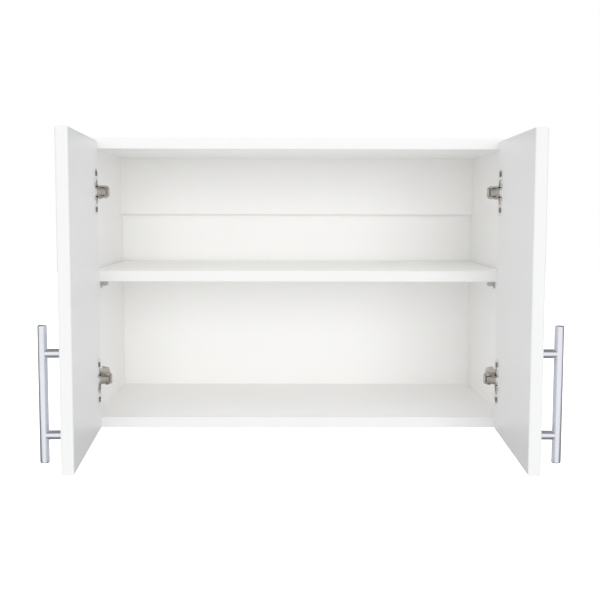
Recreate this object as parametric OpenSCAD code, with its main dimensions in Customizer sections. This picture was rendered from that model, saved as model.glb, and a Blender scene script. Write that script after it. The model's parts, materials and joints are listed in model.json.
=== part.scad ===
// Hanging wall cabinet with two doors, one shelf and concealed hinges.
// X runs across the cabinet, +Y points at the wall and +Z points up.
// The origin is on the wall plane, at the middle of the hanging rail.

/* [Cabinet] */
// Width of the cabinet
cabinet_w = 600; // [560:10:900]
// Height of the cabinet
cabinet_h = 400; // [380:10:460]
// Depth of the cabinet without its doors
cabinet_d = 318; // [280:1:350]
// Thickness of every board
board_t = 15; // [15:1:16]
// Thickness of the back panel
back_t = 3; // [2.5:0.5:4]
// Height of the hanging rail
rail_h = 90; // [60:5:100]
// Radius of the boards' front edges
edge_r = 1; // [0.5:0.5:2]

/* [Shelf] */
// Height of the shelf's top above the cabinet's underside
shelf_top = 219; // [180:1:240]
// Gap between the shelf and each side panel
shelf_gap = 1; // [0.5:0.5:2]
// How far the shelf's front edge sits behind the cabinet's front
shelf_setback = 2; // [1:1:20]
// Distance of the front shelf supports from the cabinet's front
support_front = 80; // [50:5:100]

/* [Doors] */
// Height of the doors
door_h = 396; // [370:1:456]
// Gap between the two closed doors
door_split = 1.5; // [1:0.5:3]
// Radius of the doors' outer edges
outer_r = 3; // [1:0.5:3]
// Radius of the doors' inner edges
inner_r = 2; // [1:0.5:2.5]
// How far the left door stands open
left_open = 87; // [0:1:95]
// How far the right door stands open
right_open = 87.8; // [0:0.1:95]

/* [Handles] */
// Diameter of the handle bar
bar_d = 11; // [10:0.5:12]
// Length of the handle bar
bar_l = 162; // [130:1:190]
// Diameter of the posts
post_d = 10.8; // [8:0.1:10.8]
// Distance between the two posts
post_span = 96; // [64:32:128]
// Distance of the bar's axis from the door
bar_offset = 23; // [20:0.5:30]
// Distance of the handle from the door's free edge
handle_edge = 34; // [25:1:50]
// Height of the handle's middle above the door's lower edge
handle_z = 89.6; // [85:0.1:200]

/* [Hinges] */
// Distance of each hinge from the door's end
hinge_end = 69; // [60:1:100]
// Diameter of the hinge cup
cup_d = 35;
// Depth of the hinge cup
cup_depth = 12; // [11.5:0.5:12]
// Distance of the cup's centre from the door's edge
cup_edge = 22.5; // [22:0.5:23]
// Gap between the closed door and the cabinet's front
door_gap = 2; // [1.5:0.5:2.5]

/* [Hidden] */

$fn = 48;
LEFT = 0;
RIGHT = 1;
UPPER = 1;
LOWER = 0;

// Clearance of everything that is pushed or screwed into a drilled hole
fit = 0.05;

// Levels and widths of the carcass, measured from the origin
front_y = -cabinet_d;
board_d = cabinet_d - back_t;
inner_w = cabinet_w - 2 * board_t;
top_z = board_t + rail_h / 2;
base_z = top_z - cabinet_h;
shelf_z = base_z + shelf_top - board_t;
shelf_d = board_d - shelf_setback - 2;
support_rear = board_d - 60;
back_margin = 1;

// Carcass fittings
cam_d = 15;
cam_h = 12;
cam_inset = 24;
cam_front = 50;
cam_rear = board_d - 50;
rail_cam_z = 25;
bolt_shank_d = 5;
bolt_head_d = 7;
bolt_in_side = 10;
dowel_d = 8;
dowel_l = 30;
dowel_in_side = 9;
dowel_step = 32;
nail_d = 1.4;
nail_l = 20;
nail_head_d = 4;

// Shelf supports
support_pin_d = 5;
support_pin_l = 8;
support_w = 10;
support_out = 10.6;
support_pad_h = 8;
support_plate_t = 1.6;
support_drop = 14;

// Doors, in the frame of a hinge: x = 0 on the side panel's inner face, y = 0 on the front
door_t = board_t;
door_w = cabinet_w / 2 - 0.75 - door_split / 2;
door_x = 0.75 - board_t;
door_outer_y = -door_gap - door_t;
hinge_heights = [base_z + hinge_end, base_z + door_h - hinge_end];
handle_x = door_x + door_w - handle_edge;
handle_mid_z = base_z + handle_z;
handle_heights = [handle_mid_z - post_span / 2, handle_mid_z + post_span / 2];
handle_screw_d = 4;
handle_screw_in = 12;
screw_head_d = 8;
cap_t = 0.8;
cap_recess = 3.4;

// Hinge pivots, in the frame of a hinge with the door closed.
// The outer link turns about arm_pivot and carries the door on door_pivot.
arm_pivot = [23.7, 3.5];
door_pivot = [-0.5, -4.2];
inner_arm_pivot = [20.6, -10];
inner_cup_pivot = [2.9, -7.8];
// Turn of each link for each degree that the door opens
outer_ratio = 0.45;
inner_ratio = 0.506;
// Middle of the inner link's wide eye, in which inner_cup_pivot moves as the door opens
wide_eye = [2.54, -8.85];

// Hinge sizes, most of them half widths measured from the hinge's middle plane
cup_x = door_x + cup_edge;
cup_wall = 0.8;
flange_t = 1;
flange_l = 62;
flange_w = 30;
cup_screw_z = 24;
cup_screw_shift = 6;
pin_r = 1;
arm_pin_r = 1.2;
eye_r = 2.3;
nose_w = 4.1;
nose_low_x = 12;
link_w = 2.3;
link_crank = 1.1;
inner_link_w = 4.4;
outer_link_in = 4.7;
outer_link_out = 5.6;
nose_in = 5.9;
nose_out = 6.9;
lug_in = 7.2;
lug_out = 8.2;
arm_in = 7.1;
arm_out = 8.5;
// The arm's side outline: its front stands up, and it slopes down to its rear end
arm_x = 22.2;
arm_low_x = 9.6;
arm_front_y = 8.5;
arm_bend_y = 14;
arm_end_y = 58;
arm_end_x = 13.4;
arm_end_low_x = 3.6;
arm_sheet = 1.4;
plate_y = 37;
plate_hole_z = 16;
plate_base_t = 2;
plate_block_y = 20;
adjust_y = [22, 46];

// A vector turned by an angle, and where the door's pivot is once the outer link has turned
function turned(v, a) = [v[0] * cos(a) - v[1] * sin(a), v[0] * sin(a) + v[1] * cos(a)];
function door_pivot_at(open) = arm_pivot + turned(door_pivot - arm_pivot, outer_ratio * open);
function direction(a, b) = atan2(b[1] - a[1], b[0] - a[0]);
// Height of the arm's upper face above the side panel
function arm_top(y) = arm_x - (arm_x - arm_end_x) * (y - arm_bend_y) / (arm_end_y - arm_bend_y);
function opening(side) = side == LEFT ? left_open : right_open;

// ---- Placing ----

module on_side(side) {
  mirror([side, 0, 0]) translate([-inner_w / 2, front_y, 0]) children();
}

module at_hinge(side, level) {
  on_side(side) translate([0, 0, hinge_heights[level]]) children();
}

module at_both_hinges(side) {
  for (level = [LOWER, UPPER]) at_hinge(side, level) children();
}

module swing(side) {
  pivot = door_pivot_at(opening(side));
  translate([pivot[0], pivot[1], 0])
    rotate([0, 0, -opening(side)])
      translate([-door_pivot[0], -door_pivot[1], 0])
        children();
}

// A cylinder along Z, from z0 up to z1
module post(x, y, r, z0, z1) {
  translate([x, y, z0]) cylinder(h = z1 - z0, r = r);
}

// The same shape on both sides of the hinge's middle plane, between two half widths
module both_cheeks(inside, outside) {
  for (z = [-outside, inside]) translate([0, 0, z]) linear_extrude(outside - inside) children();
}

// ---- Carcass ----

// Outline of a board with its front edge's two corners rounded: depth along x, thickness along y
module board_outline(depth) {
  translate([edge_r, 0]) square([depth - edge_r, board_t]);
  translate([0, edge_r]) square([edge_r, board_t - 2 * edge_r]);
  for (y = [edge_r, board_t - edge_r]) translate([edge_r, y]) circle(edge_r);
}

module board_across(width, depth) {
  rotate([90, 0, 90]) linear_extrude(width, center = true) board_outline(depth);
}

module side_board() {
  linear_extrude(cabinet_h) rotate(90) mirror([0, 1]) board_outline(board_d);
}

// The places where cams and dowels join a board's end to a side panel
module at_bolts() {
  for (y = [cam_front, cam_rear], z = [top_z - board_t / 2, base_z + board_t / 2])
    translate([0, y, z]) children();
  for (z = [-rail_cam_z, rail_cam_z]) translate([0, board_d - board_t / 2, z]) children();
}

module at_dowels() {
  for (y = [cam_front + dowel_step, cam_rear - dowel_step], z = [top_z - board_t / 2, base_z + board_t / 2])
    translate([0, y, z]) children();
  translate([0, board_d - board_t / 2, 0]) children();
}

module at_supports() {
  for (y = [support_front, support_rear]) translate([0, y, shelf_z]) children();
}

module bolt_holes_in_side() {
  at_bolts() rotate([0, -90, 0]) cylinder(h = bolt_in_side, d = bolt_shank_d + 2 * fit);
}

module bolt_holes_in_board() {
  at_bolts() rotate([0, 90, 0]) cylinder(h = cam_inset, d = bolt_head_d + 1);
}

module dowel_holes() {
  at_dowels() translate([-dowel_in_side, 0, 0])
    rotate([0, 90, 0]) cylinder(h = dowel_l, d = dowel_d + 2 * fit);
}

module cam_holes() {
  for (y = [cam_front, cam_rear]) {
    post(cam_inset, y, cam_d / 2 + fit, top_z - cam_h - fit, top_z + 1);
    post(cam_inset, y, cam_d / 2 + fit, base_z - 1, base_z + cam_h + fit);
  }
  for (z = [-rail_cam_z, rail_cam_z])
    translate([cam_inset, board_d + 1, z]) rotate([90, 0, 0])
      cylinder(h = cam_h + fit + 1, d = cam_d + 2 * fit);
}

module board_end_holes() {
  for (side = [LEFT, RIGHT]) on_side(side) {
    bolt_holes_in_board();
    dowel_holes();
    cam_holes();
  }
}

module at_nails() {
  for (x = [-2 : 2], z = [top_z - board_t / 2, base_z + board_t / 2])
    translate([x * (inner_w - 60) / 4, 0, z]) children();
  for (side = [-1, 1], z = [-2 : 2])
    translate([side * (cabinet_w - board_t) / 2, 0, top_z - cabinet_h / 2 + z * (cabinet_h - 60) / 4])
      children();
}

module nail(extra) {
  rotate([90, 0, 0]) cylinder(h = nail_l, d = nail_d + 2 * extra);
  rotate([90, 0, 0]) cylinder(h = 0.8 + extra, d = nail_head_d + 2 * extra);
}

module nail_holes() {
  at_nails() translate([0, 0.01, 0]) nail(fit);
}

module side_panel(side) {
  color("white") difference() {
    on_side(side) difference() {
      translate([-board_t, 0, base_z]) side_board();
      bolt_holes_in_side();
      dowel_holes();
      at_supports() translate([0, 0, -support_drop / 2])
        rotate([0, -90, 0]) cylinder(h = support_pin_l + fit, d = support_pin_d + 2 * fit);
      for (z = hinge_heights, dz = [-plate_hole_z, plate_hole_z])
        translate([0, plate_y, z + dz]) rotate([0, -90, 0]) cylinder(h = 11, d = 3.5 + 2 * fit);
    }
    nail_holes();
  }
}

module top_panel() {
  color("white") difference() {
    translate([0, front_y, top_z - board_t]) board_across(inner_w, board_d);
    board_end_holes();
    nail_holes();
  }
}

module bottom_panel() {
  color("white") difference() {
    translate([0, front_y, base_z]) board_across(inner_w, board_d);
    board_end_holes();
    nail_holes();
  }
}

module hanging_rail() {
  color("white") difference() {
    translate([-inner_w / 2, -back_t - board_t, -rail_h / 2]) cube([inner_w, board_t, rail_h]);
    board_end_holes();
  }
}

module back_panel() {
  color("white") difference() {
    translate([-cabinet_w / 2 + back_margin, -back_t, base_z + back_margin])
      cube([cabinet_w - 2 * back_margin, back_t, cabinet_h - 2 * back_margin]);
    nail_holes();
  }
}

module back_panel_nails() {
  color("silver") at_nails() nail(0);
}

// A cam with its slotted end up and its claw open towards -X
module cam() {
  difference() {
    cylinder(h = cam_h, d = cam_d);
    translate([-cam_d, -bolt_shank_d / 2 - 0.3, -1])
      cube([cam_d, bolt_shank_d + 0.6, cam_h - board_t / 2 + 1 + bolt_shank_d / 2 + 0.3]);
    translate([-3.5, -bolt_head_d / 2 - 0.4, -1])
      cube([7, bolt_head_d + 0.8, cam_h - board_t / 2 + 1 + bolt_head_d / 2 + 0.4]);
    for (a = [0, 90]) rotate(a) translate([-3.5, -0.6, cam_h - 1.5]) cube([7, 1.2, 2]);
  }
}

// A cam's slotted end faces out of its hole, and its claw opens towards the board's end
module cam_locks() {
  color("silver") for (side = [LEFT, RIGHT]) on_side(side) {
    for (y = [cam_front, cam_rear]) {
      translate([cam_inset, y, top_z - cam_h]) cam();
      translate([cam_inset, y, base_z + cam_h]) mirror([0, 0, 1]) cam();
    }
    for (z = [-rail_cam_z, rail_cam_z])
      translate([cam_inset, board_d - cam_h, z]) rotate([-90, 0, 0]) cam();
  }
}

module cam_bolts() {
  color("silver") for (side = [LEFT, RIGHT]) on_side(side) at_bolts() {
    translate([-bolt_in_side, 0, 0]) rotate([0, 90, 0])
      cylinder(h = bolt_in_side + cam_inset, d = bolt_shank_d);
    translate([cam_inset - 2, 0, 0]) rotate([0, 90, 0]) cylinder(h = 4, d = bolt_head_d);
  }
}

module wood_dowels() {
  color("burlywood") for (side = [LEFT, RIGHT]) on_side(side)
    at_dowels() translate([0.5 - dowel_in_side, 0, 0])
      rotate([0, 90, 0]) cylinder(h = dowel_l - 1, d = dowel_d);
}

// ---- Shelf ----

module shelf() {
  color("white") translate([0, front_y + shelf_setback, shelf_z])
    board_across(inner_w - 2 * shelf_gap, shelf_d);
}

// The shelf rests on the pad, the plate lies on the side panel and the pin is pushed into it
module shelf_support(side, y) {
  color("gray") on_side(side) translate([0, y, shelf_z]) {
    translate([0, -support_w / 2, -support_pad_h]) cube([support_out, support_w, support_pad_h]);
    translate([0, -support_w / 2, -support_drop]) cube([support_plate_t, support_w, support_drop]);
    translate([0, 0, -support_drop / 2]) rotate([0, -90, 0])
      cylinder(h = support_pin_l, d = support_pin_d);
  }
}

// ---- Doors ----

// A door's cross-section: width along x, thickness along y with the outer face at y = 0
module door_outline(width) {
  translate([0, outer_r]) square([width, door_t - outer_r - inner_r]);
  translate([outer_r, 0]) square([width - 2 * outer_r, outer_r]);
  translate([inner_r, door_t - inner_r]) square([width - 2 * inner_r, inner_r]);
  for (x = [outer_r, width - outer_r]) translate([x, outer_r]) circle(outer_r);
  for (x = [inner_r, width - inner_r]) translate([x, door_t - inner_r]) circle(inner_r);
}

module door_blank() {
  intersection() {
    linear_extrude(door_h) door_outline(door_w);
    translate([door_w, 0, 0]) rotate([0, -90, 0]) linear_extrude(door_w) door_outline(door_h);
  }
}

// A hole or a peg from the door's inner face, along +Y when the door is closed
module from_inner_face(x, z, d, depth) {
  translate([x, -door_gap - depth, z]) rotate([-90, 0, 0]) cylinder(h = depth + 1, d = d);
}

module door(side) {
  color("white") on_side(side) swing(side) difference() {
    translate([door_x, door_outer_y, base_z]) door_blank();
    for (z = hinge_heights) {
      from_inner_face(cup_x, z, cup_d + 2 * fit, cup_depth + fit);
      for (dz = [-cup_screw_z, cup_screw_z])
        from_inner_face(cup_x + cup_screw_shift, z + dz, 3.5 + 2 * fit, 10);
    }
    for (z = handle_heights) {
      from_inner_face(handle_x, z, screw_head_d + 2 * fit, cap_recess);
      from_inner_face(handle_x, z, handle_screw_d + 2 * fit, door_t + 1);
    }
  }
}

module handle_bar(side) {
  chamfer = 0.8;
  color("silver") on_side(side) swing(side)
    translate([handle_x, door_outer_y - bar_offset, handle_mid_z - bar_l / 2]) {
      cylinder(h = chamfer, r1 = bar_d / 2 - chamfer, r2 = bar_d / 2);
      translate([0, 0, chamfer]) cylinder(h = bar_l - 2 * chamfer, d = bar_d);
      translate([0, 0, bar_l - chamfer]) cylinder(h = chamfer, r1 = bar_d / 2, r2 = bar_d / 2 - chamfer);
    }
}

// Each post is scooped to sit on the bar and tapped for its screw
module handle_posts(side) {
  color("silver") on_side(side) swing(side) for (z = handle_heights) difference() {
    translate([handle_x, door_outer_y, z]) rotate([90, 0, 0]) cylinder(h = bar_offset, d = post_d);
    post(handle_x, door_outer_y - bar_offset, bar_d / 2, z - post_d, z + post_d);
    translate([handle_x, door_outer_y + 1, z]) rotate([90, 0, 0])
      cylinder(h = handle_screw_in + 2, d = handle_screw_d + 2 * fit);
  }
}

module handle_screws(side) {
  head_t = 2.4;
  color("silver") on_side(side) swing(side) for (z = handle_heights) {
    translate([handle_x, -door_gap - cap_t - 0.1, z]) rotate([90, 0, 0])
      cylinder(h = head_t, d = screw_head_d - 0.4);
    translate([handle_x, -door_gap - cap_t - 1, z]) rotate([90, 0, 0])
      cylinder(h = door_t + handle_screw_in - cap_t - 1, d = handle_screw_d);
  }
}

module screw_caps(side) {
  color("white") on_side(side) swing(side) for (z = handle_heights)
    translate([handle_x, -door_gap, z]) rotate([90, 0, 0]) cylinder(h = cap_t, d = screw_head_d);
}

// ---- Hinges ----

// The flange's outline in the door's plane: x across the cup, y along the hinge
module flange_outline() {
  circle(d = cup_d + 3);
  hull() for (z = [-1, 1]) translate([0, z * (flange_l - flange_w) / 2]) circle(d = flange_w);
}

module cup_inside() {
  translate([cup_x, -door_gap - cup_depth + cup_wall, 0]) rotate([-90, 0, 0])
    cylinder(h = cup_depth + flange_t + 1, r = cup_d / 2 - cup_wall);
}

module hinge_cup(side, level) {
  color("silver") at_hinge(side, level) swing(side) difference() {
    union() {
      difference() {
        union() {
          translate([cup_x, -door_gap, 0]) rotate([-90, 0, 0]) linear_extrude(flange_t) flange_outline();
          translate([cup_x, -door_gap - cup_depth, 0]) rotate([-90, 0, 0])
            cylinder(h = cup_depth, d = cup_d);
        }
        cup_inside();
      }
      intersection() {
        cup_inside();
        both_cheeks(lug_in, lug_out)
          translate([-20, -door_gap - cup_depth]) square([door_pivot[0] + 29, cup_depth]);
      }
    }
    for (p = [door_pivot, inner_cup_pivot]) post(p[0], p[1], pin_r + fit, -lug_out - 2, lug_out + 2);
    for (z = [-cup_screw_z, cup_screw_z])
      from_inner_face(cup_x + cup_screw_shift, z, 3.5 + 2 * fit, 1);
  }
}

// Short pins carry the outer link on both sides, and one through pin holds the inner link
module cup_pins(side) {
  color("dimgray") at_both_hinges(side) swing(side) {
    for (z = [-lug_out, outer_link_in]) post(door_pivot[0], door_pivot[1], pin_r, z, z + lug_out - outer_link_in);
    post(inner_cup_pivot[0], inner_cup_pivot[1], pin_r, -lug_out, lug_out);
  }
}

module screw(head_d, head_t, shank_d, shank_l) {
  difference() {
    cylinder(h = head_t, d = head_d);
    for (a = [0, 90]) rotate(a) translate([-head_d / 3, -0.4, head_t - 0.9]) cube([2 * head_d / 3, 0.8, 1]);
  }
  translate([0, 0, -shank_l]) cylinder(h = shank_l, d = shank_d);
}

module cup_screws(side) {
  color("silver") at_both_hinges(side) swing(side) for (z = [-cup_screw_z, cup_screw_z])
    translate([cup_x + cup_screw_shift, -door_gap + flange_t, z]) rotate([-90, 0, 0])
      screw(7, 1.4, 3.5, 10);
}

// Side outline of the arm: a nose around its two pivots, then a channel back along the side panel
module nose_outline() {
  for (p = [arm_pivot, inner_arm_pivot]) translate(p) circle(eye_r);
  translate([inner_arm_pivot[0] - eye_r, inner_arm_pivot[1]])
    square([nose_w, arm_pivot[1] - inner_arm_pivot[1]]);
  translate([nose_low_x, arm_pivot[1]]) square([arm_x - nose_low_x, 7]);
}

// The arm's side outline with its upper face lowered by an amount
module arm_outline(lower) {
  polygon([
    [arm_low_x, arm_front_y], [arm_x - lower, arm_front_y], [arm_x - lower, arm_bend_y],
    [arm_end_x - lower, arm_end_y], [arm_end_low_x, arm_end_y]
  ]);
}

module hinge_arm(side, level) {
  color("silver") at_hinge(side, level) difference() {
    union() {
      both_cheeks(nose_in, nose_out) nose_outline();
      both_cheeks(nose_in, arm_out) translate([nose_low_x, 7.5]) square([arm_x - nose_low_x, 3]);
      both_cheeks(arm_in, arm_out) arm_outline(0);
      translate([0, 0, -arm_out]) linear_extrude(2 * arm_out) difference() {
        arm_outline(0);
        arm_outline(arm_sheet);
      }
    }
    for (p = [arm_pivot, inner_arm_pivot]) post(p[0], p[1], arm_pin_r + fit, -arm_out, arm_out);
    for (y = adjust_y) translate([0, y, 0]) rotate([0, 90, 0]) cylinder(h = arm_x + 1, d = 6 + 2 * fit);
  }
}

module arm_pins(side) {
  color("dimgray") at_both_hinges(side) for (p = [arm_pivot, inner_arm_pivot])
    post(p[0], p[1], arm_pin_r, -nose_out, nose_out);
}

// A cross-shaped base on the side panel with a raised block that the arm straddles
module hinge_plate(side, level) {
  wing = 23;
  block_z = arm_in - 0.3;
  under_arm = arm_sheet + 0.5;
  block_ends = [plate_block_y - 4, arm_end_y - 4];
  color("silver") at_hinge(side, level) difference() {
    union() {
      translate([0, plate_y - 7, -wing]) cube([plate_base_t, 14, 2 * wing]);
      translate([0, 0, -block_z]) linear_extrude(2 * block_z) polygon([
        [0, block_ends[0]], [arm_top(block_ends[0]) - under_arm, block_ends[0]],
        [arm_top(block_ends[1]) - under_arm, block_ends[1]], [0, block_ends[1]]
      ]);
    }
    for (z = [-plate_hole_z, plate_hole_z])
      translate([-1, plate_y, z]) rotate([0, 90, 0]) cylinder(h = plate_base_t + 2, d = 3.5 + 2 * fit);
    for (y = adjust_y) translate([arm_top(y) - arm_sheet - 12, y, 0]) rotate([0, 90, 0])
      cylinder(h = 14, d = 4 + 2 * fit);
  }
}

module plate_screws(side) {
  color("silver") at_both_hinges(side) for (z = [-plate_hole_z, plate_hole_z])
    translate([plate_base_t, plate_y, z]) rotate([0, 90, 0]) screw(7, 1.8, 3.5, plate_base_t + 10);
}

module adjusting_screws(side) {
  color("silver") at_both_hinges(side) for (y = adjust_y)
    translate([arm_top(y) - arm_sheet, y, 0]) rotate([0, 90, 0]) screw(6, 2, 4, 10);
}

// A link between two pivots: an eye at each end, and a bar cranked clear of the cup's rim
module link_outline(length) {
  translate([0, link_crank - link_w / 2]) square([length, link_w]);
  for (x = [0, length]) translate([x, 0]) circle(eye_r);
}

// Two cheeks joined by a sleeve around the arm's pin
module outer_link(side, level) {
  a = arm_pivot;
  b = door_pivot_at(opening(side));
  color("gray") at_hinge(side, level) difference() {
    union() {
      both_cheeks(outer_link_in, outer_link_out) translate(a) rotate(direction(a, b))
        link_outline(norm(b - a));
      post(a[0], a[1], eye_r, -outer_link_out, outer_link_out);
    }
    post(a[0], a[1], arm_pin_r + fit, -nose_out, nose_out);
    post(b[0], b[1], pin_r + fit, -nose_out, nose_out);
  }
}

// Its eye in the cup is wide, because this is where the closed linkage is opened
module inner_link(side, level) {
  wide_eye_r = 3.3;
  wide_hole_r = 2.3;
  a = inner_arm_pivot;
  b = a + turned(wide_eye - a, inner_ratio * opening(side));
  color("gray") at_hinge(side, level) difference() {
    translate([0, 0, -inner_link_w]) linear_extrude(2 * inner_link_w) {
      translate(a) circle(eye_r);
      translate(b) circle(wide_eye_r);
      translate(a) rotate(direction(a, b)) translate([0, -1.6]) square([norm(b - a) - 1, 3.2]);
    }
    post(a[0], a[1], arm_pin_r + fit, -arm_out, arm_out);
    post(b[0], b[1], wide_hole_r, -arm_out, arm_out);
  }
}

side_panel(LEFT);  // left_side_panel
side_panel(RIGHT);  // right_side_panel
top_panel();
bottom_panel();
back_panel();
hanging_rail();
shelf();
shelf_support(LEFT, support_front);  // front_left_shelf_support
shelf_support(RIGHT, support_front);  // front_right_shelf_support
shelf_support(LEFT, support_rear);  // rear_left_shelf_support
shelf_support(RIGHT, support_rear);  // rear_right_shelf_support
cam_locks();
cam_bolts();
wood_dowels();
back_panel_nails();
door(LEFT);  // left_door
door(RIGHT);  // right_door
handle_bar(LEFT);  // left_handle_bar
handle_bar(RIGHT);  // right_handle_bar
handle_posts(LEFT);  // left_handle_posts
handle_posts(RIGHT);  // right_handle_posts
handle_screws(LEFT);  // left_handle_screws
handle_screws(RIGHT);  // right_handle_screws
screw_caps(LEFT);  // left_screw_caps
screw_caps(RIGHT);  // right_screw_caps
hinge_cup(LEFT, UPPER);  // upper_left_hinge_cup
hinge_cup(LEFT, LOWER);  // lower_left_hinge_cup
hinge_cup(RIGHT, UPPER);  // upper_right_hinge_cup
hinge_cup(RIGHT, LOWER);  // lower_right_hinge_cup
hinge_arm(LEFT, UPPER);  // upper_left_hinge_arm
hinge_arm(LEFT, LOWER);  // lower_left_hinge_arm
hinge_arm(RIGHT, UPPER);  // upper_right_hinge_arm
hinge_arm(RIGHT, LOWER);  // lower_right_hinge_arm
hinge_plate(LEFT, UPPER);  // upper_left_hinge_plate
hinge_plate(LEFT, LOWER);  // lower_left_hinge_plate
hinge_plate(RIGHT, UPPER);  // upper_right_hinge_plate
hinge_plate(RIGHT, LOWER);  // lower_right_hinge_plate
outer_link(LEFT, UPPER);  // upper_left_outer_link
outer_link(LEFT, LOWER);  // lower_left_outer_link
outer_link(RIGHT, UPPER);  // upper_right_outer_link
outer_link(RIGHT, LOWER);  // lower_right_outer_link
inner_link(LEFT, UPPER);  // upper_left_inner_link
inner_link(LEFT, LOWER);  // lower_left_inner_link
inner_link(RIGHT, UPPER);  // upper_right_inner_link
inner_link(RIGHT, LOWER);  // lower_right_inner_link
arm_pins(LEFT);  // left_arm_pins
arm_pins(RIGHT);  // right_arm_pins
cup_pins(LEFT);  // left_cup_pins
cup_pins(RIGHT);  // right_cup_pins
cup_screws(LEFT);  // left_cup_screws
cup_screws(RIGHT);  // right_cup_screws
plate_screws(LEFT);  // left_plate_screws
plate_screws(RIGHT);  // right_plate_screws
adjusting_screws(LEFT);  // left_adjusting_screws
adjusting_screws(RIGHT);  // right_adjusting_screws
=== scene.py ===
import json
from math import cos, pi, radians, sin
import bmesh
import bpy
from mathutils import Matrix, Vector


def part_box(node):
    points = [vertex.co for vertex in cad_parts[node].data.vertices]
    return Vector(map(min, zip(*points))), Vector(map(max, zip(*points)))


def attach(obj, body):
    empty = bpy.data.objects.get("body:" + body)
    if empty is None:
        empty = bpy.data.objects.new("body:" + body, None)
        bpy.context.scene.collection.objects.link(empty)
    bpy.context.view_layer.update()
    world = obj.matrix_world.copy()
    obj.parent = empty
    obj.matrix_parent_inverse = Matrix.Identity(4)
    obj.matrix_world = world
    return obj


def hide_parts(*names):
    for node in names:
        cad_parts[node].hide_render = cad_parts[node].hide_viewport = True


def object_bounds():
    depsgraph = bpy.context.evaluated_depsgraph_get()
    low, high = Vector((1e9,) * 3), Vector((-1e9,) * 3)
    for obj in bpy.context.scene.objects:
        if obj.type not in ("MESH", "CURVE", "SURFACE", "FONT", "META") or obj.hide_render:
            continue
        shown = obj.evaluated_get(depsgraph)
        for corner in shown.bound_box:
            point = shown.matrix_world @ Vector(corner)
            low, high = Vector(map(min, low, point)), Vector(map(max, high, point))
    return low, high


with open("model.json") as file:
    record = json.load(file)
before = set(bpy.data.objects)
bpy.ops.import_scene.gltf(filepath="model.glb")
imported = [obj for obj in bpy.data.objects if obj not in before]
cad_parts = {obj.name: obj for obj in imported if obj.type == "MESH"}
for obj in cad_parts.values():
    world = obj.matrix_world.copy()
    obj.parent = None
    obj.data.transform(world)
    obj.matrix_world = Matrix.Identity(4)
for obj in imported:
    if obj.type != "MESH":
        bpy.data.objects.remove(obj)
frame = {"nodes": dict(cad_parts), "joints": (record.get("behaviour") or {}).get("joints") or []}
cad_low, cad_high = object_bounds()
nodes = frame["nodes"]


# ---------------------------------------------------------------- Viewpoint
# The cabinet hangs on a wall with its doors open, seen by someone standing in front of it.
# The eye is a little above its middle and a little left of it, and looks slightly down.

MM = 0.001
eye = Vector((-0.0110, -1.9555, -0.0334))
look_down = radians(6.288)
look_right = radians(0.472)
head_tilt = radians(0.120)

forward = Vector((sin(look_right) * cos(look_down), cos(look_right) * cos(look_down), -sin(look_down)))
sideways = Vector((cos(look_right), -sin(look_right), 0))
upward = sideways.cross(forward)
right = cos(head_tilt) * sideways + sin(head_tilt) * upward
upward = cos(head_tilt) * upward - sin(head_tilt) * sideways

LENS = 71.22
SENSOR = 36
VIEW_RAISED = 0.0632
camera_data = bpy.data.cameras.new("eye")
camera_data.lens = LENS
camera_data.sensor_width = SENSOR
camera_data.shift_y = VIEW_RAISED
camera = bpy.data.objects.new("eye", camera_data)
bpy.context.scene.collection.objects.link(camera)
camera.matrix_world = Matrix.Translation(eye) @ Matrix((right, upward, -forward)).transposed().to_4x4()
bpy.context.scene.camera = camera


# ---------------------------------------------------------------- Side, top and bottom panels
# Particle board faced with white melamine paper, whose skin has a very fine pearl texture.
# A white edge band is glued on the front edge, and its glue line shows as a hair line.

LAMINATE_WHITE = (0.95, 0.948, 0.941)
EDGE_BAND = 0.8 * MM
GLUE_STRENGTH = 0.14


def new_group(name, inputs, outputs):
    """A shader node group with named sockets: inputs and outputs are lists of (name, type, default)."""
    group = bpy.data.node_groups.new(name, "ShaderNodeTree")
    for label, kind, default in inputs:
        socket = group.interface.new_socket(name=label, in_out="INPUT", socket_type="NodeSocket" + kind)
        if default is not None:
            socket.default_value = default
    for label, kind in outputs:
        group.interface.new_socket(name=label, in_out="OUTPUT", socket_type="NodeSocket" + kind)
    return group, group.nodes.new("NodeGroupInput"), group.nodes.new("NodeGroupOutput")


def add(tree, kind, values=None, **settings):
    """A node with its settings and inputs: a number or colour is set, and a socket is linked."""
    node = tree.nodes.new("ShaderNode" + kind)
    for key, value in settings.items():
        setattr(node, key, value)
    for key, value in (values or {}).items():
        if isinstance(value, bpy.types.NodeSocket):
            tree.links.new(value, node.inputs[key])
        else:
            node.inputs[key].default_value = value
    return node


def calc(tree, operation, a, b=0.0):
    """The output of a Math node."""
    return add(tree, "Math", {0: a, 1: b}, operation=operation).outputs[0]


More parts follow.
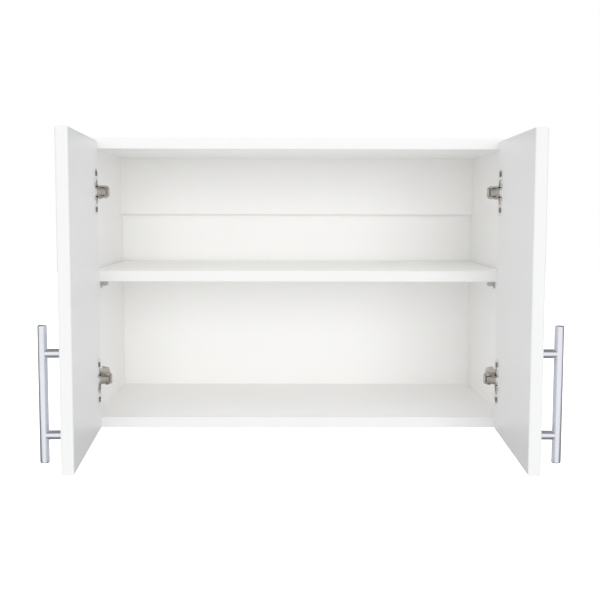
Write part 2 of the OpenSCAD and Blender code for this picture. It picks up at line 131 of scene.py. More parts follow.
def make_pearl():
    """The skin of a laminate: a hair of colour drift, and the pearl texture as a height."""
    group, given, out = new_group(
        "pearl_skin",
        [("Vector", "Vector", None), ("White", "Color", (0.87, 0.87, 0.865, 1)), ("Grain", "Float", 700.0),
         ("Drift", "Float", 0.012), ("Depth", "Float", 0.12)],
        [("Color", "Color"), ("Roughness", "Float"), ("Normal", "Vector")])
    cloud = add(group, "TexNoise", {"Vector": given.outputs["Vector"], "Scale": 5.0, "Detail": 2.0})
    dark = calc(group, "MULTIPLY", cloud.outputs["Fac"], given.outputs["Drift"])
    tint = add(group, "Mix", {"Factor": dark, 6: given.outputs["White"], 7: (0.55, 0.54, 0.52, 1)},
               data_type="RGBA")
    fine = add(group, "TexNoise", {"Vector": given.outputs["Vector"], "Scale": given.outputs["Grain"],
                                   "Detail": 2.0})
    coarse = calc(group, "MULTIPLY", given.outputs["Grain"], 0.35)
    slow = add(group, "TexNoise", {"Vector": given.outputs["Vector"], "Scale": coarse, "Detail": 1.0})
    height = calc(group, "ADD", fine.outputs["Fac"], slow.outputs["Fac"])
    bump = add(group, "Bump", {"Strength": given.outputs["Depth"], "Distance": 0.0001, "Height": height})
    matt = calc(group, "MULTIPLY_ADD", cloud.outputs["Fac"], 0.08)
    matt.node.inputs[2].default_value = 0.34
    group.links.new(tint.outputs[2], out.inputs["Color"])
    group.links.new(matt, out.inputs["Roughness"])
    group.links.new(bump.outputs["Normal"], out.inputs["Normal"])
    return group


def make_seam():
    """A hair line at a set place along one coordinate: 1 on the line and 0 elsewhere."""
    group, given, out = new_group(
        "glue_line",
        [("Coordinate", "Float", 0.0), ("Place", "Float", 0.0), ("Width", "Float", 0.0003)],
        [("Mask", "Float")])
    away = calc(group, "SUBTRACT", given.outputs["Coordinate"], given.outputs["Place"])
    away = calc(group, "ABSOLUTE", away)
    share = calc(group, "DIVIDE", away, given.outputs["Width"])
    mask = calc(group, "SUBTRACT", 1.0, share)
    mask.node.use_clamp = True
    group.links.new(mask, out.inputs["Mask"])
    return group


pearl_skin = make_pearl()
glue_line = make_seam()


def blank(name, **settings):
    """A material with its Principled shader, its node tree and Object coordinates."""
    material = bpy.data.materials.new(name)
    material.use_nodes = True
    tree = material.node_tree
    shader = next(n for n in tree.nodes if n.type == "BSDF_PRINCIPLED")
    for key, value in settings.items():
        shader.inputs[key.replace("_", " ")].default_value = value
    place = add(tree, "TexCoord").outputs["Object"]
    return material, tree, shader, place


def cover(tree, shader, colour, roughness, normal):
    """Links a finished colour, roughness and normal to a shader."""
    tree.links.new(colour, shader.inputs["Base Color"])
    tree.links.new(roughness, shader.inputs["Roughness"])
    tree.links.new(normal, shader.inputs["Normal"])


def laminate(name, white, seam_axis="Y", seam=None, **skin):
    """White laminate, with the glue line of an edge band at seam, measured along seam_axis."""
    material, tree, shader, place = blank(name)
    settings = {key.capitalize(): value for key, value in skin.items()}
    surface = add(tree, "Group", {"Vector": place, "White": (*white, 1), **settings}, node_tree=pearl_skin)
    colour = surface.outputs["Color"]
    if seam is not None:
        along_axis = add(tree, "SeparateXYZ", {0: place}).outputs[seam_axis]
        line = add(tree, "Group", {"Coordinate": along_axis, "Place": seam}, node_tree=glue_line)
        faint = calc(tree, "MULTIPLY", line.outputs["Mask"], GLUE_STRENGTH)
        colour = add(tree, "Mix", {"Factor": faint, 6: colour, 7: (0.35, 0.33, 0.3, 1)},
                     data_type="RGBA").outputs[2]
    cover(tree, shader, colour, surface.outputs["Roughness"], surface.outputs["Normal"])
    return material


def paint(material, *names):
    """Gives CAD nodes a material in every slot."""
    for name in names:
        node = nodes[name]
        if not node.data.materials:
            node.data.materials.append(material)
        for index in range(len(node.data.materials)):
            node.data.materials[index] = material


front_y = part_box("top_panel")[0].y
board = laminate("carcass_laminate", LAMINATE_WHITE, "Y", front_y + EDGE_BAND)
paint(board, "left_side_panel", "right_side_panel", "top_panel", "bottom_panel")


# ---------------------------------------------------------------- Back panel
# A sheet of thin hardboard, painted white on the inside and nailed to the boards' rear edges.
# Its outer face is the bare brown board, a little blotchy.

BARE_BOARD = (0.33, 0.21, 0.12)
BARE_BLOTCH = (0.42, 0.28, 0.17)
PAINTED_DEPTH = 0.4 * MM
back, back_tree, back_shader, back_place = blank("white_hardboard")
back_skin = add(back_tree, "Group", {"Vector": back_place, "White": (*LAMINATE_WHITE, 1), "Grain": 450.0,
                                     "Depth": 0.2}, node_tree=pearl_skin)
depth_at = add(back_tree, "SeparateXYZ", {0: back_place}).outputs["Y"]
bare = calc(back_tree, "GREATER_THAN", depth_at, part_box("back_panel")[0].y + PAINTED_DEPTH)
blotch = add(back_tree, "TexNoise", {"Vector": back_place, "Scale": 220.0, "Detail": 5.0})
brown = add(back_tree, "Mix", {"Factor": blotch.outputs["Fac"], 6: (*BARE_BOARD, 1), 7: (*BARE_BLOTCH, 1)},
            data_type="RGBA")
faces = add(back_tree, "Mix", {"Factor": bare, 6: back_skin.outputs["Color"], 7: brown.outputs[2]},
            data_type="RGBA")
matt_face = add(back_tree, "Mix", {"Factor": bare, 2: back_skin.outputs["Roughness"], 3: 0.75})
cover(back_tree, back_shader, faces.outputs[2], matt_face.outputs[0], back_skin.outputs["Normal"])
paint(back, "back_panel")


# ---------------------------------------------------------------- Hanging rail
# A strip of the same board across the back under the top panel. Wall screws, which are not part of
# the cabinet, would go through it.
# Its lower edge has an edge band too.

rail_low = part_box("hanging_rail")[0].z
rail = laminate("rail_laminate", LAMINATE_WHITE, "Z", rail_low + EDGE_BAND)
paint(rail, "hanging_rail")


# ---------------------------------------------------------------- Shelf
# One loose board in the same white laminate, lying on four supports.
# An edge band is glued on its front edge.

shelf_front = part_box("shelf")[0].y
shelf_board = laminate("shelf_laminate", LAMINATE_WHITE, "Y", shelf_front + EDGE_BAND)
paint(shelf_board, "shelf")


# ---------------------------------------------------------------- Doors
# Board doors in a brighter white with softly rounded, wrapped edges.
# They hang on the hinges and stand open nearly square to the cabinet.

DOOR_WHITE = (0.925, 0.928, 0.93)
opening = {"left": radians(87), "right": radians(87.8)}
for side in ("left", "right"):
    door = laminate(side + "_door_laminate", DOOR_WHITE, grain=600.0)
    paint(door, side + "_door")


# ---------------------------------------------------------------- Handles
# T-bar handles of satin brushed steel: a turned bar with broken edges on two posts.
# Each post is scooped to fit the bar, and a screw from inside the door holds it.

SATIN = (0.82, 0.83, 0.89)
SHUT_PIVOT = Vector((-0.5, -4.2, 0))
joint_at = {joint["name"]: Vector(joint["pos_m"]) for joint in frame["joints"] if "pos_m" in joint}
panel_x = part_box("left_side_panel")[1].x


def fixed(side, height=0.0):
    """Takes millimetres from the front edge of a side panel's inner face to the room."""
    mirror = Matrix.Diagonal((1 if side == "left" else -1, 1, 1, 1))
    return mirror @ Matrix.Translation((panel_x, front_y, height)) @ Matrix.Scale(MM, 4)


def swung(side, height=0.0):
    """The same for a piece drawn on a shut door: it turns with the door to where it stands open."""
    pivot = fixed(side).inverted() @ joint_at[side + "_door_swing"]
    turn = Matrix.Rotation(-opening[side], 4, "Z")
    return (fixed(side, height) @ Matrix.Translation((pivot.x, pivot.y, 0)) @ turn
            @ Matrix.Translation(-SHUT_PIVOT))


def turned_part(profile, axis="Z", steps=48):
    """A lathe-turned part: a profile of (radius, distance along the axis), spun once round."""
    shape = bmesh.new()
    across = Vector((1, 0, 0))
    along = Vector((0, 0, 1)) if axis == "Z" else Vector((0, 1, 0))
    points = [shape.verts.new(across * radius + along * distance) for radius, distance in profile]
    edges = [shape.edges.new(pair) for pair in zip(points, points[1:])]
    bmesh.ops.spin(shape, geom=points + edges, cent=(0, 0, 0), axis=along, dvec=(0, 0, 0), angle=2 * pi,
                   steps=steps, use_merge=True)
    bmesh.ops.remove_doubles(shape, verts=shape.verts, dist=0.001)
    bmesh.ops.recalc_face_normals(shape, faces=shape.faces)
    return shape


def add_part(whole, part, place=None):
    """Moves a part to its place in a larger shape."""
    place = place or Matrix()
    bmesh.ops.transform(part, matrix=place, verts=part.verts)
    if place.determinant() < 0:
        bmesh.ops.reverse_faces(part, faces=part.faces)
    spare = bpy.data.meshes.new("spare")
    part.to_mesh(spare)
    part.free()
    whole.from_mesh(spare)
    bpy.data.meshes.remove(spare)


def settle(shape, name, place, material, body, slot, *replaced):
    """Puts a finished shape where it belongs and makes it a piece that rides on a body."""
    finished = bmesh.new()
    add_part(finished, shape, place)
    mesh = bpy.data.meshes.new(name)
    finished.to_mesh(mesh)
    finished.free()
    mesh.shade_smooth()
    mesh.set_sharp_from_angle(angle=radians(38))
    mesh.materials.append(material)
    piece = bpy.data.objects.new(name, mesh)
    bpy.context.scene.collection.objects.link(piece)
    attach(piece, body)
    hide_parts(*replaced)


def make_brushed():
    """Brushed metal: fine lines drawn out along the brushing, in the colour, the gloss and the relief."""
    group, given, out = new_group(
        "brushed_grain",
        [("Vector", "Vector", None), ("Stretch", "Vector", (900, 900, 900)),
         ("Metal", "Color", (0.6, 0.6, 0.6, 1)), ("Matt", "Float", 0.3), ("Depth", "Float", 0.06)],
        [("Color", "Color"), ("Roughness", "Float"), ("Normal", "Vector")])
    drawn = add(group, "VectorMath", {0: given.outputs["Vector"], 1: given.outputs["Stretch"]},
                operation="MULTIPLY")
    lines = add(group, "TexNoise", {"Vector": drawn.outputs[0], "Scale": 1.0, "Detail": 3.0})
    patches = add(group, "TexNoise", {"Vector": given.outputs["Vector"], "Scale": 90.0, "Detail": 2.0})
    share = add(group, "MapRange", {"Value": lines.outputs["Fac"], "From Min": 0.3, "From Max": 0.7,
                                    "To Min": 0.14, "To Max": 0.0}).outputs[0]
    tone = add(group, "Mix", {"Factor": share, 6: given.outputs["Metal"], 7: (0.1, 0.1, 0.1, 1)},
               data_type="RGBA")
    rub = add(group, "MapRange", {"Value": patches.outputs["Fac"], "To Min": -0.06,
                                  "To Max": 0.08}).outputs[0]
    matt = calc(group, "ADD", given.outputs["Matt"], rub)
    bump = add(group, "Bump", {"Strength": given.outputs["Depth"], "Distance": 0.0001,
                               "Height": lines.outputs["Fac"]})
    group.links.new(tone.outputs[2], out.inputs["Color"])
    group.links.new(matt, out.inputs["Roughness"])
    group.links.new(bump.outputs["Normal"], out.inputs["Normal"])
    return group


brushed_grain = make_brushed()


def brushed(name, colour, matt, stretch, depth):
    """A metal with the brushed grain; stretch is how fine the grain is along each axis."""
    material, tree, shader, place = blank(name, Metallic=1.0)
    grain = add(tree, "Group", {"Vector": place, "Stretch": stretch, "Metal": (*colour, 1), "Matt": matt,
                                "Depth": depth}, node_tree=brushed_grain)
    cover(tree, shader, grain.outputs["Color"], grain.outputs["Roughness"], grain.outputs["Normal"])
    return material


HANDLE_X = 250.25
OUTER_FACE_Y = -17
BAR_REACH = 23
BAR_R = 5.5
POST_R = 5.4
bar_end = [(0, 0.25), (1.2, 0.25), (1.5, 0), (BAR_R - 1.4, 0), (BAR_R - 0.7, 0.2), (BAR_R - 0.2, 0.7),
           (BAR_R, 1.4)]
satin = brushed("satin_metal", SATIN, 0.24, (260, 260, 9000), 0.06)
satin_ends = brushed("satin_post_metal", SATIN, 0.24, (9000, 260, 260), 0.06)
for side in ("left", "right"):
    low, high = (corner.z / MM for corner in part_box(side + "_handle_bar"))
    lower_end = [(radius, low + inward) for radius, inward in bar_end]
    upper_end = [(radius, high - inward) for radius, inward in reversed(bar_end)]
    bar = turned_part(lower_end + upper_end, steps=64)
    axis = Matrix.Translation((HANDLE_X, OUTER_FACE_Y - BAR_REACH, 0))
    settle(bar, side + "_bar", swung(side) @ axis, satin, side + "_door_leaf", "satin_metal",
           side + "_handle_bar")
    low, high = (corner.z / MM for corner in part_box(side + "_handle_posts"))
    posts = bmesh.new()
    for height in (low + POST_R, high - POST_R):
        post = turned_part([(0, 1.5), (POST_R - 0.3, 1.5), (POST_R, 3.5), (POST_R, BAR_REACH - 1.2),
                            (POST_R - 0.35, BAR_REACH - 0.9), (POST_R - 0.35, BAR_REACH - 0.5),
                            (POST_R, BAR_REACH - 0.25), (POST_R, BAR_REACH), (0, BAR_REACH)], "Y")
        add_part(posts, post, Matrix.Translation((HANDLE_X, OUTER_FACE_Y - BAR_REACH, height)))
    settle(posts, side + "_posts", swung(side), satin_ends, side + "_door_leaf", "satin_metal",
           side + "_handle_posts")


# ---------------------------------------------------------------- Hinge cups
# Deep drawn cups of nickel plated steel in 35 mm bores, with a long flange on the door's inner face.
# Its two rounded ends take the screws, and two lugs inside the cup hold the pins.

CUP_X = 8.25
INNER_FACE_Y = -2
NICKEL = (0.56, 0.52, 0.475)
BRIGHT_NICKEL = (0.86, 0.85, 0.83)
hinge_height = {level: sum(corner.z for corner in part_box(level + "_left_hinge_plate")) / 2
                for level in ("upper", "lower")}
hinges = [(level, side) for level in ("upper", "lower") for side in ("left", "right")]
nickel = brushed("nickel_steel", NICKEL, 0.3, (500, 500, 500), 0.05)
bright_nickel = brushed("bright_nickel", BRIGHT_NICKEL, 0.16, (500, 500, 500), 0.03)


def prism(corners, low, high, radii=(), soft=0.0):
    """A flat outline in X and Y raised along Z. radii rounds its corners, and soft its edges."""
    shape = bmesh.new()
    points = [shape.verts.new((x, y, low)) for x, y in corners]
    raised = bmesh.ops.extrude_face_region(shape, geom=[shape.faces.new(points)])
    tops = [v for v in raised["geom"] if isinstance(v, bmesh.types.BMVert)]
    bmesh.ops.translate(shape, verts=tops, vec=(0, 0, high - low))
    bmesh.ops.holes_fill(shape, edges=shape.edges)
    bmesh.ops.recalc_face_normals(shape, faces=shape.faces)
    uprights = [next(e for e in v.link_edges if abs(e.other_vert(v).co.z - v.co.z) > 0.001) for v in points]
    for radius in sorted({r for r in radii if r}, reverse=True):
        chosen = [edge for edge, r in zip(uprights, radii) if r == radius and edge.is_valid]
        bmesh.ops.bevel(shape, geom=chosen, offset=radius, offset_type="OFFSET", segments=6, affect="EDGES",
                        profile=0.5, material=-1, clamp_overlap=True)
    if soft:
        soften(shape, soft)
    return shape


def soften(shape, width, segments=2):
    """Breaks the sharp edges of a shape."""
    sharp = [e for e in shape.edges if len(e.link_faces) == 2 and e.calc_face_angle() > radians(50)]
    bmesh.ops.bevel(shape, geom=sharp, offset=width, offset_type="OFFSET", segments=segments, affect="EDGES",
                    profile=0.5, material=-1, clamp_overlap=True)


RING_R = 17.2
LOBE_R = 15
LOBE_OUT = 16
RAISED_ALONG_Y = Matrix(((1, 0, 0, 0), (0, 0, 1, 0), (0, 1, 0, 0), (0, 0, 0, 1)))
lobe_angles = [radians(degree) for degree in range(150, 29, -8)]
end_angles = [radians(degree) for degree in range(0, 181, 6)]
for level, side in hinges:
    cup = bmesh.new()
    bowl = turned_part([(0, -13.2), (15.5, -13.2), (16.3, -12.9), (16.7, -12.2), (16.7, -1.7), (16.85, -1.25),
                        (RING_R, -1.1), (18.6, -1.1), (18.9, -1.3), (19, -1.6), (19, INNER_FACE_Y),
                        (17.5, INNER_FACE_Y), (17.5, -13), (16.5, -14), (0, -14)], "Y", 72)
    add_part(cup, bowl, Matrix.Translation((CUP_X, 0, 0)))
    for end in (1, -1):
        inside = [(CUP_X + RING_R * cos(angle), RING_R * sin(angle)) for angle in lobe_angles]
        outside = [(CUP_X + LOBE_R * cos(angle), LOBE_OUT + LOBE_R * sin(angle)) for angle in end_angles]
        lobe = prism(inside + outside, INNER_FACE_Y, -1, (), 0.25)
        add_part(cup, lobe, RAISED_ALONG_Y @ Matrix.Diagonal((1, end, 1, 1)))
        lug = prism([(-6.2, -13.3), (8.5, -13.3), (8.5, -5), (3, -2.2), (-6.2, -2.2)], 7.2, 8.2,
                    (0, 0, 1.5, 1.5, 1), 0.2)
        add_part(cup, lug, Matrix.Diagonal((1, 1, end, 1)))
    node = level + "_" + side + "_hinge_cup"
    settle(cup, level + "_" + side + "_cup", swung(side, hinge_height[level]), bright_nickel,
           side + "_door_leaf", "nickel_steel", node)


# ---------------------------------------------------------------- Hinge arms and plates
# Each arm is one bent sheet: a channel that slopes to the rear, with a nose that carries both links.
# It straddles a die-cast plate, whose wings are screwed to the side panel.

RAISED_ALONG_X = Matrix(((0, 0, 1, 0), (1, 0, 0, 0), (0, 1, 0, 0), (0, 0, 0, 1)))
SHEET = 1.2
for level, side in hinges:
    channel = prism([(9.6, 8.5), (22.2, 8.5), (22.2, 14), (13.4, 58), (3.6, 58)], -8.5, 8.5)
    open_sides = [f for f in channel.faces if f.normal.y > 0.9 or f.normal.x < -0.5]
    bmesh.ops.delete(channel, geom=open_sides, context="FACES_ONLY")
    folds = [e for e in channel.edges if len(e.link_faces) == 2 and e.calc_face_angle() > radians(60)]
    bmesh.ops.bevel(channel, geom=folds, offset=SHEET, offset_type="OFFSET", segments=4, affect="EDGES",
                    profile=0.5, material=-1, clamp_overlap=True)
    bmesh.ops.solidify(channel, geom=channel.faces[:] + channel.edges[:] + channel.verts[:],
                       thickness=SHEET)
    arm = bmesh.new()
    add_part(arm, channel)
    for end in (1, -1):
        cheek = prism([(18.3, -12.2), (22.9, -12.2), (22.9, -1.6), (25.4, 1.6), (25.4, 5.6), (22.2, 9),
                       (12, 9), (12, 5.5), (18.3, 1)], 5.9, 6.9, (2.2, 2.2, 0, 2.2, 2.2, 0, 0, 0, 2), 0.15)
        add_part(arm, cheek, Matrix.Diagonal((1, 1, end, 1)))
    node = level + "_" + side + "_hinge_arm"
    settle(arm, level + "_" + side + "_arm", fixed(side, hinge_height[level]), nickel, "cabinet",
           "nickel_steel", node)
    plate = bmesh.new()
    base = prism([(30, -23), (44, -23), (44, 23), (30, 23)], 0, 2, (5, 5, 5, 5), 0.4)
    add_part(plate, base, RAISED_ALONG_X)
    block = prism([(0, 16), (19.8, 16), (12.2, 54), (0, 54)], -6.8, 6.8, (), 0.6)
    add_part(plate, block)
    node = level + "_" + side + "_hinge_plate"
    settle(plate, level + "_" + side + "_plate", fixed(side, hinge_height[level]), nickel, "cabinet",
           "nickel_steel", node)


# ---------------------------------------------------------------- Hinge links
# Two pressed links join each arm to its cup: a wide inner one and a cranked outer one with two cheeks.
# Their ends that dip into the cup carry a painted highlight: their colour is raised to the cup's bright
# nickel.

ARM_PIVOT = Vector((23.7, 3.5, 0))
INNER_ARM_PIVOT = Vector((20.6, -10, 0))
SHUT_EYE = Vector((2.54, -8.85, 0))
OUTER_TURN = 0.45
INNER_TURN = 0.506
EYE_R = 2.3


def along(start, end):
    """A frame with its origin at start and its X axis towards end."""
    away = end - start
    return Matrix.Translation(start) @ away.to_track_quat("X", "Z").to_matrix().to_4x4(), away.length


MOUTH = Vector((3, INNER_FACE_Y, 0))
HIGHLIGHT_FADE = 0.8 * MM
mouth_x = abs((swung("left") @ MOUTH).x)
link_steel = brushed("link_steel", NICKEL, 0.3, (500, 500, 500), 0.05)
link_tree = link_steel.node_tree
link_place = add(link_tree, "TexCoord").outputs["Object"]
out_from_middle = add(link_tree, "SeparateXYZ", {0: link_place}).outputs["X"]
# Painted highlight: beyond the cup's mouth the links' colour fades up from nickel to the cup's bright nickel.
painted_highlight = add(link_tree, "MapRange", {"Value": calc(link_tree, "ABSOLUTE", out_from_middle),
                                       "From Min": mouth_x - HIGHLIGHT_FADE, "From Max": mouth_x})
link_colour_with_highlight = add(link_tree, "Mix", {"Factor": painted_highlight.outputs[0], 6: (*NICKEL, 1), 7: (*BRIGHT_NICKEL, 1)},
                  data_type="RGBA")
link_grain = next(node for node in link_tree.nodes if node.type == "GROUP")
link_tree.links.new(link_colour_with_highlight.outputs[2], link_grain.inputs["Metal"])
for level, side in hinges:
    shut = Matrix.Rotation(OUTER_TURN * opening[side], 4, "Z")
    line, length = along(ARM_PIVOT, ARM_PIVOT + shut @ (SHUT_PIVOT - ARM_PIVOT))
    link = bmesh.new()
    for end in (1, -1):
        cheek = prism([(-EYE_R, -EYE_R), (2, -EYE_R), (4, -0.05), (length - 4, -0.05), (length - 2, -EYE_R),
                       (length + EYE_R, -EYE_R), (length + EYE_R, EYE_R), (-EYE_R, EYE_R)], 4.7, 5.6,
                      (2.2, 1, 1, 1, 1, 2.2, 2.2, 2.2), 0.12)
        add_part(link, cheek, Matrix.Diagonal((1, 1, end, 1)))
    sleeve = turned_part([(0, -4.8), (EYE_R, -4.8), (EYE_R, 4.8), (0, 4.8)])
    add_part(link, sleeve)
    name = level + "_" + side + "_outer_link"
    settle(link, level + "_" + side + "_long_link", fixed(side, hinge_height[level]) @ line, link_steel,
           side + "_outer_links", "nickel_steel", name)
    shut = Matrix.Rotation(INNER_TURN * opening[side], 4, "Z")
    line, length = along(INNER_ARM_PIVOT, INNER_ARM_PIVOT + shut @ (SHUT_EYE - INNER_ARM_PIVOT))
    link = prism([(-EYE_R, -EYE_R), (length + 3, -EYE_R), (length + 3, EYE_R), (-EYE_R, EYE_R)], -4.4, 4.4,
                 (2.2, 2.2, 2.2, 2.2), 0.3)
    name = level + "_" + side + "_inner_link"
    settle(link, level + "_" + side + "_wide_link", fixed(side, hinge_height[level]) @ line, link_steel,
           side + "_inner_links", "nickel_steel", name)


# ---------------------------------------------------------------- Pins, screws and fittings
# Turned steel pins carry the links, and plated screws hold the hinges and handles. Nails hold the
# back panel, and cast cams on steel bolts draw the boards together.

pin_steel = brushed("pin_steel", (0.24, 0.23, 0.22), 0.35, (600, 600, 600), 0.05)
zinc = brushed("zinc_steel", (0.50, 0.48, 0.46), 0.32, (600, 600, 600), 0.05)
casting = brushed("zinc_casting", (0.55, 0.55, 0.56), 0.42, (350, 350, 350), 0.2)
for side in ("left", "right"):
    paint(pin_steel, side + "_arm_pins", side + "_cup_pins", side + "_cup_screws")
    paint(zinc, side + "_plate_screws", side + "_adjusting_screws", side + "_handle_screws")
paint(zinc, "cam_bolts", "back_panel_nails")
paint(casting, "cam_locks")


# ---------------------------------------------------------------- Shelf supports
# Moulded supports of grey plastic: a pad under the shelf with a rib below it, a plate on the panel
# and a peg in it.

SUPPORT_GREY = (0.44, 0.44, 0.43)
SUPPORT_PALE = (0.54, 0.54, 0.52)
plastic, plastic_tree, plastic_shader, plastic_place = blank("support_plastic", IOR=1.49)
mottle = add(plastic_tree, "TexNoise", {"Vector": plastic_place, "Scale": 500.0, "Detail": 3.0})
grey = add(plastic_tree, "Mix", {"Factor": mottle.outputs["Fac"], 6: (*SUPPORT_GREY, 1),
                                   7: (*SUPPORT_PALE, 1)}, data_type="RGBA")
shine = add(plastic_tree, "MapRange", {"Value": mottle.outputs["Fac"], "To Min": 0.25, "To Max": 0.45})
ripple = add(plastic_tree, "Bump", {"Strength": 0.1, "Distance": 0.0002, "Height": mottle.outputs["Fac"]})
cover(plastic_tree, plastic_shader, grey.outputs[2], shine.outputs[0], ripple.outputs["Normal"])
DOWN_THE_PEG = Matrix(((0, 0, 1, 0), (0, 1, 0, 0), (-1, 0, 0, 0), (0, 0, 0, 1)))
for row in ("front", "rear"):
    for side in ("left", "right"):
        node = row + "_" + side + "_shelf_support"
        low, high = (fixed(side).inverted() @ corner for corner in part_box(node))
        middle_y = (low.y + high.y) / 2
        top = max(low.z, high.z)
        support = bmesh.new()
        pad = prism([(0, -5), (10.6, -5), (10.6, 5), (0, 5)], -4.6, 0, (0, 2, 2, 0), 0.4)
        add_part(support, pad)
        rib = prism([(0, -4.4), (10.4, -4.4), (10.4, -9.4), (9, -10.6), (0, -10.6)], -4.2, 4.2,
                    (0, 0, 1, 1, 0), 0.4)
        add_part(support, rib, RAISED_ALONG_Y)
        back_plate = prism([(-5, -14), (5, -14), (5, -0.2), (-5, -0.2)], 0, 1.6, (4.8, 4.8, 0, 0), 0.3)
        add_part(support, back_plate, RAISED_ALONG_X)
        peg = turned_part([(0, -8), (2.1, -8), (2.5, -7.4), (2.5, 0.3), (0, 0.3)], steps=24)
        add_part(support, peg, Matrix.Translation((0, 0, -7)) @ DOWN_THE_PEG)
        place = fixed(side) @ Matrix.Translation((0, middle_y, top))
        settle(support, row + "_" + side + "_support", place, plastic, "cabinet", "support_plastic", node)


# ---------------------------------------------------------------- Screw caps and dowels
# White stick-on caps hide the handle screws on the doors' inner faces.
# Beech dowels line the boards up inside their joints.

cap_white = laminate("cap_plastic", DOOR_WHITE, grain=900.0, depth=0.08)
for side in ("left", "right"):
    paint(cap_white, side + "_screw_caps")
beech, beech_tree, beech_shader, beech_place = blank("beech", Roughness=0.65)
drawn_out = add(beech_tree, "Mapping", {"Vector": beech_place, "Scale": (60, 900, 900)}).outputs["Vector"]
fibre = add(beech_tree, "TexNoise", {"Vector": drawn_out, "Scale": 1.0, "Detail": 4.0})
BEECH_PALE = (0.62, 0.43, 0.25)
BEECH_DARK = (0.5, 0.32, 0.17)
tan = add(beech_tree, "Mix", {"Factor": fibre.outputs["Fac"], 6: (*BEECH_PALE, 1), 7: (*BEECH_DARK, 1)},
          data_type="RGBA")
beech_tree.links.new(tan.outputs[2], beech_shader.inputs["Base Color"])
paint(beech, "wood_dowels")


# ---------------------------------------------------------------- Room light
# A plain pale floor well below the cabinet fades to white away from it. An even pale room gives most
# of the light, with a broad soft sun from the front, a little high, and a weak fill in the opening.
# Metal and laminate mirror a room of their own, bright in front and dim elsewhere.

FLOOR_DROP = 0.9
FLOOR_HALF = 20
FLOOR_GREY = 0.72
floor_shape = bmesh.new()
bmesh.ops.create_grid(floor_shape, x_segments=1, y_segments=1, size=FLOOR_HALF)
bmesh.ops.translate(floor_shape, verts=floor_shape.verts, vec=(0, 0, cad_low.z - FLOOR_DROP))
floor_mesh = bpy.data.meshes.new("floor")
floor_shape.to_mesh(floor_mesh)
floor_shape.free()
floor = bpy.data.objects.new("floor", floor_mesh)
bpy.context.scene.collection.objects.link(floor)
floor_paint, floor_tree, floor_shader, floor_place = blank("floor", Roughness=0.85)
floor_shader.inputs["Base Color"].default_value = (FLOOR_GREY, FLOOR_GREY, FLOOR_GREY, 1)
floor_shader.inputs["Emission Strength"].default_value = 1.0
flat = add(floor_tree, "VectorMath", {0: floor_place, 1: (1, 1, 0)}, operation="MULTIPLY")
reach = add(floor_tree, "VectorMath", {0: flat.outputs[0]}, operation="LENGTH")
fade = add(floor_tree, "MapRange", {"Value": reach.outputs["Value"], "From Min": 0.5, "From Max": 1.5},
           interpolation_type="SMOOTHSTEP")
eye_ray = add(floor_tree, "LightPath").outputs["Is Camera Ray"]
shown = calc(floor_tree, "MULTIPLY", fade.outputs[0], eye_ray)
glow = add(floor_tree, "Mix", {"Factor": shown, 6: (0, 0, 0, 1), 7: (0.9, 0.9, 0.9, 1)}, data_type="RGBA")
floor_tree.links.new(glow.outputs[2], floor_shader.inputs["Emission Color"])
floor_mesh.materials.append(floor_paint)
floor.visible_glossy = False

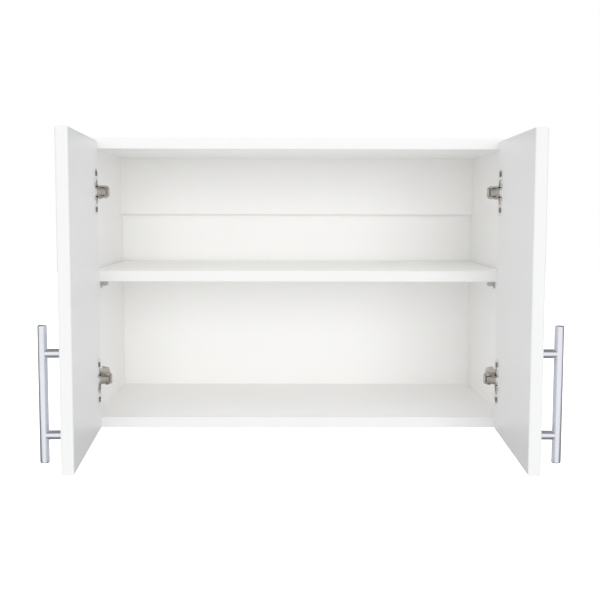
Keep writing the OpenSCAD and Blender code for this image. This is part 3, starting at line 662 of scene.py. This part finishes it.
ROOM_GLOW = 0.885
FRONT_PANEL = 1.08
ROOM_REST = 0.28
world = bpy.data.worlds.new("room")
bpy.context.scene.world = world
world.use_nodes = True
world.cycles.sampling_method = "NONE"
room = world.node_tree
room.nodes.clear()
heading = add(room, "SeparateXYZ", {0: add(room, "TexCoord").outputs["Generated"]})
ahead = calc(room, "MULTIPLY", heading.outputs["Y"], -1.0)
steep = calc(room, "ABSOLUTE", heading.outputs["Z"])
inside = calc(room, "SUBTRACT", ahead, steep)
panel = add(room, "MapRange", {"Value": inside, "From Min": -0.12, "From Max": 0.3, "To Min": ROOM_REST,
                               "To Max": FRONT_PANEL}, interpolation_type="SMOOTHSTEP")
even = add(room, "Background", {"Color": (0.99, 0.993, 1, 1), "Strength": ROOM_GLOW})
mirrored = add(room, "Background", {"Color": (0.985, 0.99, 1, 1), "Strength": panel.outputs[0]})
seen = add(room, "Background", {"Color": (1, 1, 1, 1), "Strength": 1.0})
rays = add(room, "LightPath")
lit = add(room, "MixShader", {0: rays.outputs["Is Glossy Ray"], 1: even.outputs[0], 2: mirrored.outputs[0]})
mixed = add(room, "MixShader", {0: rays.outputs["Is Camera Ray"], 1: lit.outputs[0], 2: seen.outputs[0]})
output = room.nodes.new("ShaderNodeOutputWorld")
room.links.new(mixed.outputs[0], output.inputs["Surface"])
bpy.context.scene.view_settings.view_transform = "Standard"

SUN_POWER = 0.78
SUN_SPREAD = radians(24)
SUN_HEADING = Vector((-0.07, 1, -0.13))
sun_light = bpy.data.lights.new("soft_sun", "SUN")
sun_light.energy = SUN_POWER
sun_light.angle = SUN_SPREAD
sun_light.color = (1, 0.995, 0.985)
soft_sun = bpy.data.objects.new("soft_sun", sun_light)
soft_sun.rotation_euler = SUN_HEADING.to_track_quat("-Z", "Y").to_euler()
soft_sun.visible_glossy = False
bpy.context.scene.collection.objects.link(soft_sun)

FILL_POWER = 0.15
FILL_HALF_WIDTH = 0.28
FILL_BEHIND_FRONT = 4 * MM
FILL_MARGIN = 5 * MM
fill_y = front_y + FILL_BEHIND_FRONT
inner_low = Vector((-FILL_HALF_WIDTH, fill_y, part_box("bottom_panel")[1].z + FILL_MARGIN))
inner_high = Vector((FILL_HALF_WIDTH, fill_y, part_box("top_panel")[0].z - FILL_MARGIN))
fill_light = bpy.data.lights.new("fill", "AREA")
fill_light.shape = "RECTANGLE"
fill_light.size = inner_high.x - inner_low.x
fill_light.size_y = inner_high.z - inner_low.z
fill_light.energy = FILL_POWER
fill = bpy.data.objects.new("fill", fill_light)
fill.location = (inner_low + inner_high) / 2
fill.rotation_euler = (radians(90), 0, 0)
fill.visible_camera = False
fill.visible_glossy = False
bpy.context.scene.collection.objects.link(fill)
DIFFUSE_BOUNCES = 10
ALL_BOUNCES = 12
bpy.context.scene.cycles.diffuse_bounces = DIFFUSE_BOUNCES
bpy.context.scene.cycles.max_bounces = ALL_BOUNCES
